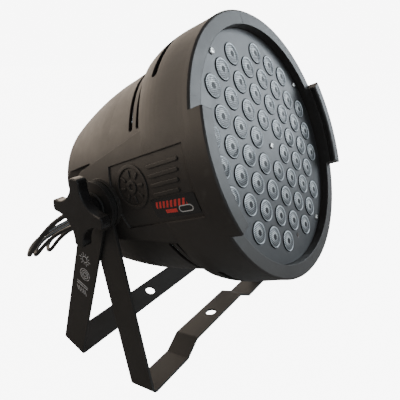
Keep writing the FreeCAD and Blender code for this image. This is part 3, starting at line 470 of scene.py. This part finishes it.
bodyPlastic = mouldedPlastic(rgb(0.024, 0.021, 0.019), rgb(0.034, 0.03, 0.027), 0.46, 1500.0)
platePlastic = mouldedPlastic(rgb(0.035, 0.036, 0.038), rgb(0.045, 0.046, 0.048), 0.42, 1900.0)
panelPlastic = mouldedPlastic(rgb(0.02, 0.02, 0.021), rgb(0.028, 0.028, 0.028), 0.5, 1100.0)
fanPlastic = mouldedPlastic(rgb(0.015, 0.015, 0.016), rgb(0.022, 0.022, 0.023), 0.5, 1500.0)
washerRubber = rubber(rgb(0.02, 0.02, 0.02), rgb(0.035, 0.034, 0.033), 0.6)
buttonRubber = rubber(rgb(0.03, 0.03, 0.031), rgb(0.05, 0.05, 0.052), 0.5)
plugVinyl = rubber(rgb(0.014, 0.014, 0.015), rgb(0.026, 0.026, 0.027), 0.42)
finishes = {
    "body": material("mouldedBody", bodyPlastic),
    "plate": material("lensPlate", platePlastic),
    "panel": material("rearPanel", panelPlastic),
    "fan": material("fanPlastic", fanPlastic),
    "strap": material("powderCoat", powderCoat),
    "knob": material("knobPlastic", knobPlastic),
    "zinc": material("zincPlate", zincPlate),
    "aluminium": material("rawAluminium", rawAluminium),
    "sheet": material("steelSheet", steelSheet),
    "brass": material("brassInsert", brassInsert),
    "washer": material("frictionRubber", washerRubber),
    "button": material("buttonRubber", buttonRubber),
    "plug": material("plugVinyl", plugVinyl),
    "board": material("circuitBoard", circuitBoard),
    "parts": material("boardParts", boardParts),
    "led": material("ledChip", ledChip),
    "lens": material("lensAcrylic", lensAcrylic),
    "window": material("displayGlass", displayGlass),
    "label": material("labelSheet", labelSheet),
    "ink": material("whiteInk", whiteInk),
    "cord": material("cordJacket", cordJacket),
}
finishOf = {
    "body": ["shell_left", "shell_right", "rear_housing", "emblem"],
    "plate": ["lens_plate"],
    "panel": ["rear_panel"],
    "fan": ["fan_frame", "fan_rotor", "lens_holders", "button_switches"],
    "strap": ["rear_yoke", "front_yoke"],
    "knob": ["knob_left", "knob_right"],
    "zinc": ["centre_post", "plate_screws", "seam_screws", "frame_screws", "fan_screws", "panel_screws",
             "knob_stud_left", "knob_stud_right"],
    "aluminium": ["heatsink"],
    "sheet": ["chassis_plate"],
    "brass": ["thread_insert_left", "thread_insert_right"],
    "washer": ["friction_pad_left", "friction_pad_right", "washer_left", "washer_right"],
    "button": ["button_1", "button_2", "button_3", "button_4"],
    "plug": ["mains_gland", "mains_plug", "signal_in_gland", "signal_in_plug", "signal_out_gland",
             "signal_out_plug"],
    "board": ["led_board", "power_board", "control_board"],
    "parts": ["power_parts", "display_module"],
    "led": ["led_chips"],
    "lens": ["lenses"],
    "window": ["display_window", "sensor_window"],
    "label": ["label_plate"],
    "cord": ["mains_lead", "mains_coil", "mains_tail", "signal_in_lead", "signal_out_lead"],
}


def finish(obj, key):
    obj.data.materials.clear()
    obj.data.materials.append(finishes[key])


for key, names in finishOf.items():
    for name in names:
        finish(nodes[name], key)
for cord in cords.values():
    finish(cord, "cord")
print("materials made: %d" % len(finishes))


def addPiece(name, points, faces, body, key, smooth=False):
    mesh = bpy.data.meshes.new(name)
    mesh.from_pydata(points.tolist(), [], faces)
    mesh.update()
    mesh.polygons.foreach_set("use_smooth", np.full(len(mesh.polygons), smooth))
    obj = addObject(name, mesh)
    finish(obj, key)
    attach(obj, body)
    return obj


# millimetres in the head frame to metres in the row frame
def headToRow(points):
    turn = np.array(toRow.to_3x3())
    return np.asarray(points) * mm @ turn.T + np.array(toRow.translation)


# the middles of a hexagonal field, without its own middle and the corners of its outer ring
def lensSpots(form):
    n = form["rings"]
    q, s = [a.ravel() for a in np.meshgrid(np.arange(-n, n + 1), np.arange(-n, n + 1), indexing="ij")]
    ring = np.maximum(np.maximum(abs(q), abs(s)), abs(q + s))
    corner = (ring == n) & ((q == 0) | (s == 0) | (q + s == 0))
    kept = (ring > 0) & (ring <= n) & ~corner
    q, s = q[kept], s[kept]
    return np.stack([form["pitch"] * s * math.sqrt(3) / 2, form["pitch"] * (q + s / 2)], -1)


# the profile's rows are a radius and a height in mm; the cone's radii are shares of the lens's own
lensForm = {
    "pitch": 25.0, "rings": 4, "radius": 10.0, "proud": 0.5, "around": 40,
    "face": [(0.05, 0.5), (2.0, 0.48), (4.0, 0.42), (6.0, 0.32), (8.0, 0.18)],
    "bead": [(8.7, 0.1), (8.9, 0.02), (9.15, 0.3), (9.5, 0.42), (9.8, 0.3)],
    "flange": 3.6, "cone": [(0.84, 0.0), (0.7, 3.6)], "tip": 0.42, "back": 11.5,
    "pocket": [(3.0, 0.0), (2.7, 3.0), (0.05, 3.0)],
}


# each lens is its profile turned about its own axis and moved to its spot
def makeLenses(form):
    r, front, flange, back = form["radius"], -form["proud"], form["flange"], form["back"]
    profile = [(at, front - height) for at, height in form["face"] + form["bead"]]
    profile += [(r, front), (r, flange)] + [(r * share, flange + deep) for share, deep in form["cone"]]
    profile += [(r * form["tip"], back)] + [(at, back - deep) for at, deep in form["pocket"]]
    radius, deep = np.array(profile).T[:, :, None]
    turn = np.linspace(0, 2 * math.pi, form["around"], endpoint=False)
    deep = np.repeat(deep, len(turn), axis=1)
    one = np.stack([radius * np.cos(turn), deep, radius * np.sin(turn)], -1).reshape(-1, 3)
    spots = lensSpots(form)
    moved = one + np.insert(spots, 1, 0.0, axis=1)[:, None]
    row, col = np.meshgrid(np.arange(len(profile) - 1), np.arange(len(turn)), indexing="ij")
    here, beside = row * len(turn) + col, row * len(turn) + (col + 1) % len(turn)
    sides = np.stack([here, here + len(turn), beside + len(turn), beside], -1).reshape(-1, 4)
    caps = np.stack([np.arange(len(turn)), np.arange(len(one) - len(turn), len(one))[::-1]])
    first = np.arange(len(spots))[:, None, None] * len(one)
    faces = (sides + first).reshape(-1, 4).tolist() + (caps + first).reshape(-1, len(turn)).tolist()
    obj = addPiece("lens_field", headToRow(moved.reshape(-1, 3)), faces, "head", "lens", smooth=True)
    spotAt = obj.data.attributes.new("lensSpot", "FLOAT_VECTOR", "POINT")
    spotAt.data.foreach_set("vector", np.tile(one, (len(spots), 1)).astype(np.float32).ravel())
    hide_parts("lenses")


makeLenses(lensForm)
print("lenses made")


# thin prisms: each outline's points below, the same points above, and a side face for each edge;
# an outline runs clockwise, because both places that it is laid on turn it over
def flatShapes(outlines, thick):
    points, faces, start = [], [], 0
    for outline in outlines:
        n = len(outline)
        u, v = outline.T
        if u @ np.roll(v, -1) > v @ np.roll(u, -1):
            outline = outline[::-1]
        points += [np.column_stack([outline, np.full(n, height)]) for height in (0.0, thick)]
        here = start + np.arange(n)
        beside = np.roll(here, -1)
        faces += [(here + n).tolist(), here[::-1].tolist()]
        faces += np.stack([here, beside, beside + n, here + n], -1).tolist()
        start += 2 * n
    return np.vstack(points), faces


def bar(u0, u1, v0, v1):
    return np.array([(u0, v0), (u1, v0), (u1, v1), (u0, v1)])


def arrow(u, half, tip, tail):
    return np.array([(u - half, tail), (u + half, tail), (u, tip)])


# a band along a circle: out along its outer edge and back along its inner one
def arcBand(u, v, r, width, start, sweep, steps):
    a = np.radians(np.linspace(start, start + sweep, steps))
    a, r = np.concatenate([a, a[::-1]]), np.repeat([r + width / 2, r - width / 2], steps)
    return np.column_stack([u + r * np.cos(a), v + r * np.sin(a)])


# a bar from near to far along a line through (u, v) at an angle
def spoke(u, v, near, far, width, degrees):
    a = math.radians(degrees)
    along, across = np.array((math.cos(a), math.sin(a))), np.array((-math.sin(a), math.cos(a))) * width / 2
    return np.array((u, v)) + np.array([near * along - across, far * along - across, far * along + across,
                                        near * along + across])


# marks on the rear panel, in mm across and up from the middle of the head
panelMarks = {
    "thick": 0.06, "line": 0.5,
    "arcs": [((-45, -8), 11.5, 320, 40), ((-28, -30), 9.5, 140, 20), ((-8, -30), 9.5, 140, 20)],
    "arcStart": 20,
    "frame": {"half": 25, "bottom": 16.9, "top": 43.1, "line": 0.6, "tuck": 0.1},
    "buttons": {"count": 4, "pitch": 14, "half": 1.6, "low": -4.4, "high": -2.0},
    "signals": {"half": 2, "low": -19.5, "high": -16.5, "in": -28, "out": -8},
    "rows": {"from": 14, "to": 46, "top": -24.0, "pitch": 3.0, "count": 7},
}


def makePanelPrint(marks):
    rim, button, signal, rows = marks["frame"], marks["buttons"], marks["signals"], marks["rows"]
    half, low, high, line, tuck = [rim[key] for key in ("half", "bottom", "top", "line", "tuck")]
    shapes = [arcBand(*at, r, marks["line"], marks["arcStart"], sweep, steps)
              for at, r, sweep, steps in marks["arcs"]]
    shapes += [bar(-half, half, edge, edge + line) for edge in (high - line, low)]
    shapes += [bar(edge, edge + line, low + tuck, high - tuck) for edge in (-half, half - line)]
    for i in range(button["count"]):
        ends = (button["low"], button["high"])
        tip, tail = ends if i % 2 else ends[::-1]
        shapes.append(arrow((i - (button["count"] - 1) / 2) * button["pitch"], button["half"], tip, tail))
    shapes.append(arrow(signal["in"], signal["half"], signal["low"], signal["high"]))
    shapes.append(arrow(signal["out"], signal["half"], signal["high"], signal["low"]))
    tops = rows["top"] - rows["pitch"] * np.arange(rows["count"])
    shapes += [bar(rows["from"], rows["to"], top, top + marks["line"]) for top in tops]
    points, faces = flatShapes(shapes, marks["thick"])
    x, z, t = points.T
    addPiece("panel_print", headToRow(np.stack([x, head["end"] + t, z], -1)), faces, "head", "ink")


# marks on the outer strap's near side, in mm across and along the strap from the pivot
strapMarks = {
    "lean": math.radians(18.4), "thick": 0.08, "round": 359, "steps": 32,
    "sun": {"at": (2.0, -64), "radius": 3.4, "line": 0.9, "rays": 12, "near": 5.0, "far": 7.6,
            "shorter": 1.2},
    "rings": {"at": (-1.0, -82), "radii": (2.2, 4.4, 6.6), "line": 0.8},
    "bars": {"half": 8.0, "top": -96.4, "tall": 1.2, "pitch": 2.6, "count": 2},
    "strokes": {"from": -6.0, "pitch": 3.0, "at": -104.5, "half": 3.4, "line": 1.0, "slant": 60, "count": 5},
}


def makeStrapPrint(marks):
    sun, rings, bars, strokes = marks["sun"], marks["rings"], marks["bars"], marks["strokes"]
    whole, steps = marks["round"], marks["steps"]
    step = 360 / sun["rays"]
    shapes = [arcBand(*sun["at"], sun["radius"], sun["line"], 0, whole, steps)]
    shapes += [spoke(*sun["at"], sun["near"], sun["far"] - sun["shorter"] * (i % 2), sun["line"], step * i)
               for i in range(sun["rays"])]
    shapes += [arcBand(*rings["at"], r, rings["line"], 0, whole, steps) for r in rings["radii"]]
    tops = bars["top"] - bars["pitch"] * np.arange(bars["count"])
    shapes += [bar(-bars["half"], bars["half"], top, top + bars["tall"]) for top in tops]
    starts = strokes["from"] + strokes["pitch"] * np.arange(strokes["count"])
    shapes += [spoke(u, strokes["at"], -strokes["half"], strokes["half"], strokes["line"], strokes["slant"])
               for u in starts]
    points, faces = flatShapes(shapes, marks["thick"])
    u, v, t = points.T * mm
    cos, sin = math.cos(marks["lean"]), math.sin(marks["lean"])
    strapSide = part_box("rear_yoke")[0].x
    placed = np.stack([strapSide - t, u * cos - v * sin + pivot.y, u * sin + v * cos + pivot.z], -1)
    addPiece("strap_print", placed, faces, "rear_yoke", "ink")


makeStrapPrint(strapMarks)
makePanelPrint(panelMarks)
print("marks made")


# the floor is pale to the camera and darker to the light, so that it throws little back
studio = {"floorHalf": 6.0, "floor": rgb(0.3, 0.29, 0.28), "floorRough": 0.9, "seen": 8.0, "ambient": 0.24,
          "sky": rgb(0.92, 0.97, 1.0), "wall": 2.4, "wallColour": rgb(1.0, 0.85, 0.7),
          "wallSide": (0.1, 0.9), "wallFoot": (-0.2, 0.1), "wallTop": (0.25, 0.65)}
white = rgb(1.0, 1.0, 1.0)


def emptyTree(tree):
    tree.nodes.clear()
    sock = Sock(tree)
    return sock, sock.node("ShaderNodeLightPath")  # 1 on what the camera sees


def makeFloor():
    half = studio["floorHalf"]
    floor = bpy.data.meshes.new("floor")
    corners = [(-half, -half, 0), (half, -half, 0), (half, half, 0), (-half, half, 0)]
    floor.from_pydata(corners, [], [(0, 1, 2, 3)])
    mat = bpy.data.materials.new("paleFloor")
    mat.use_nodes = True
    sock, seen = emptyTree(mat.node_tree)
    shader = sock.node("ShaderNodeBsdfPrincipled", {
        "Base Color": studio["floor"], "Roughness": studio["floorRough"], "Emission Color": white,
        "Emission Strength": seen * studio["seen"]})
    sock.node("ShaderNodeOutputMaterial", {"Surface": shader})
    floor.materials.append(mat)
    addObject("floor", floor)


def makeWorld():
    world = bpy.data.worlds.new("studio")
    world.use_nodes = True
    sock, seen = emptyTree(world.node_tree)
    _, y, z = sock.node("ShaderNodeTexCoord", out=0).axes()
    low, high = z.ramp(*studio["wallFoot"]), z.ramp(*studio["wallTop"])
    behind = y.ramp(*studio["wallSide"]) * low * (1.0 - high)  # a warm wall that the dome mirrors
    lit = behind * studio["wall"] + studio["ambient"]
    colour = seen.mix(behind.ramp(0.0, 0.3).mix(studio["sky"], studio["wallColour"]), white)
    strength = seen * studio["seen"] + (1.0 - seen) * lit
    shader = sock.node("ShaderNodeBackground", {"Color": colour, "Strength": strength})
    sock.node("ShaderNodeOutputWorld", {"Surface": shader})
    scene.world = world


def areaLight(name, light, aim):
    data = bpy.data.lights.new(name, "AREA")
    data.shape = "RECTANGLE"
    data.size, data.size_y = light["size"]
    data.energy = light["power"]
    data.color = light["colour"]
    obj = addObject(name, data)
    obj.location = light["at"]
    obj.rotation_mode = "QUATERNION"
    obj.rotation_quaternion = (Vector(aim) - Vector(light["at"])).to_track_quat("-Z", "Y")


lights = {
    "coolFront": {"at": (1.2, -1.0, 0.8), "size": (1.1, 0.8), "power": 26, "colour": (0.84, 0.93, 1.0)},
    "coolLeft": {"at": (-0.75, -1.6, 0.75), "size": (0.5, 1.0), "power": 5, "colour": (0.84, 0.93, 1.0)},
    "warmTop": {"at": (-0.35, 0.9, 1.7), "size": (0.9, 0.9), "power": 5, "colour": (1.0, 0.84, 0.68)},
}
makeFloor()
makeWorld()
for name, light in lights.items():
    areaLight(name, light, aim=(0, 0, 0.2))
print("stage made")
